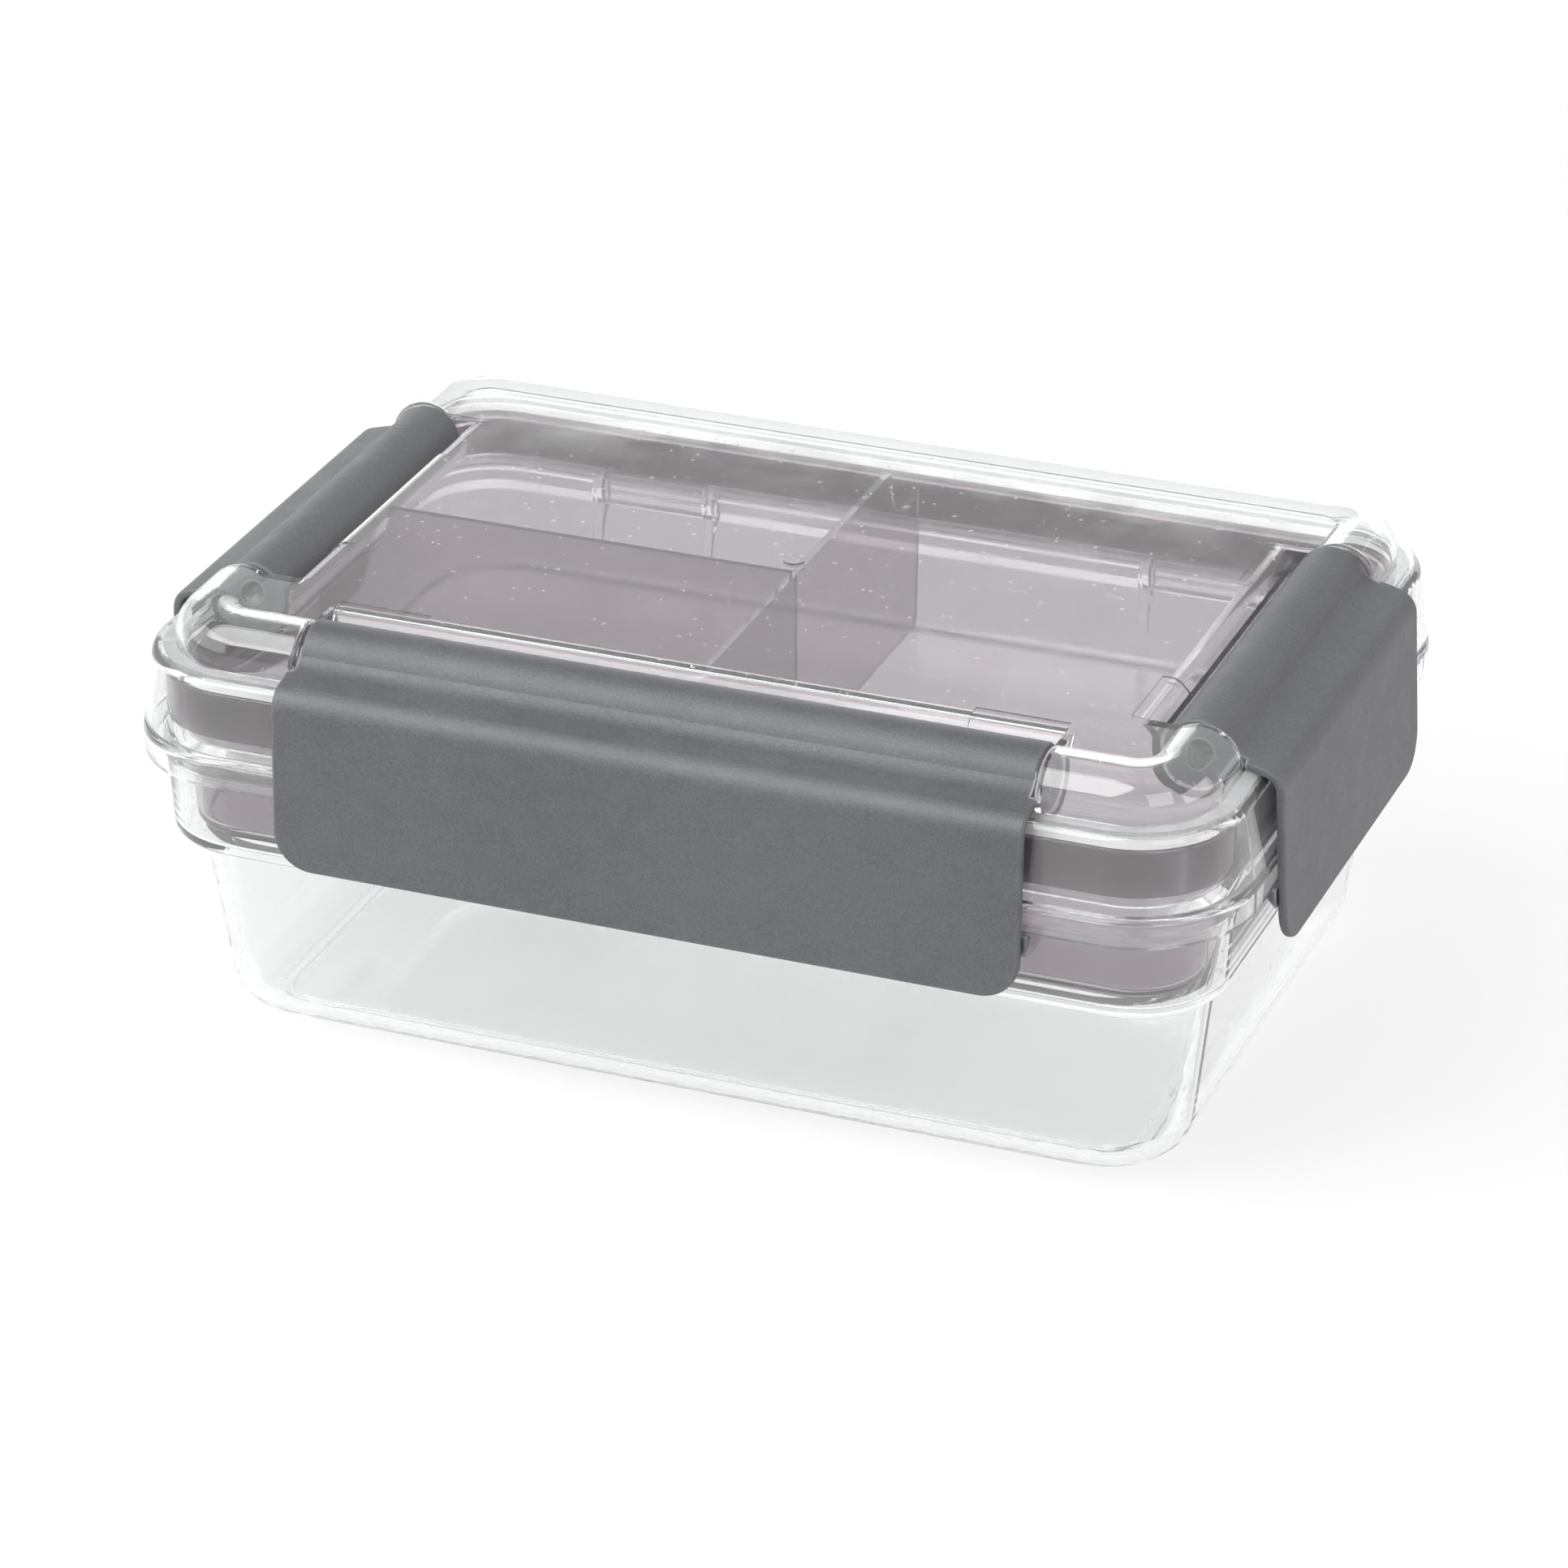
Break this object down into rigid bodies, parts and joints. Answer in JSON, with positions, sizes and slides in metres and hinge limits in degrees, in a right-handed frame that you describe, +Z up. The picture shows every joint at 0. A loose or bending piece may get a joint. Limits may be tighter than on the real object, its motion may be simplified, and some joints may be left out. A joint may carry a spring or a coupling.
{
  "type": "compartment storage box",
  "caption": "Clear lidded storage box with a smoky divided lift-out tray, a lid hinged at the back and slate snap latches on the front and both sides.",
  "frame": {"origin": "under the middle of the box, on the surface that it stands on", "axes": "+X along the long side to the right, -Y to the front latch, +Y to the back hinge, +Z up"},
  "size_m": [0.235, 0.164, 0.0915],
  "materials": {
    "clear_plastic": "clear polished",
    "smoky_plastic": "smoky transparent, polished",
    "slate_plastic": "fine matte",
    "silicone": "satin translucent"
  },
  "bodies": {
    "base": {"base_box": "clear_plastic"},
    "tray": {"divided_tray": "smoky_plastic"},
    "lid": {"lid": "clear_plastic", "lid_seal": "silicone"},
    "front_latch": {"front_latch": "slate_plastic", "front_latch_catch": "slate_plastic"},
    "left_latch": {"left_latch": "slate_plastic", "left_latch_catch": "slate_plastic"},
    "right_latch": {"right_latch": "slate_plastic", "right_latch_catch": "slate_plastic"}
  },
  "joints": [
    {"name": "tray_lift", "type": "slide", "parent": "base", "child": "tray", "axis": [0, 0, 1], "range_m": [0, 0.05]},
    {"name": "lid_hinge", "type": "hinge", "parent": "tray", "child": "lid", "pos_m": [0, 0.079, 0.063], "axis": [-1, 0, 0], "range_deg": [0, 100]},
    {"name": "front_latch_hinge", "type": "hinge", "parent": "lid", "child": "front_latch", "pos_m": [0, -0.063, 0.0845], "axis": [-1, 0, 0], "range_deg": [0, 105], "deforming": ["front_latch_catch"]},
    {"name": "left_latch_hinge", "type": "hinge", "parent": "lid", "child": "left_latch", "pos_m": [-0.0985, 0, 0.0845], "axis": [0, 1, 0], "range_deg": [0, 105], "deforming": ["left_latch_catch"]},
    {"name": "right_latch_hinge", "type": "hinge", "parent": "lid", "child": "right_latch", "pos_m": [0.0985, 0, 0.0845], "axis": [0, -1, 0], "range_deg": [0, 105], "deforming": ["right_latch_catch"]}
  ]
}
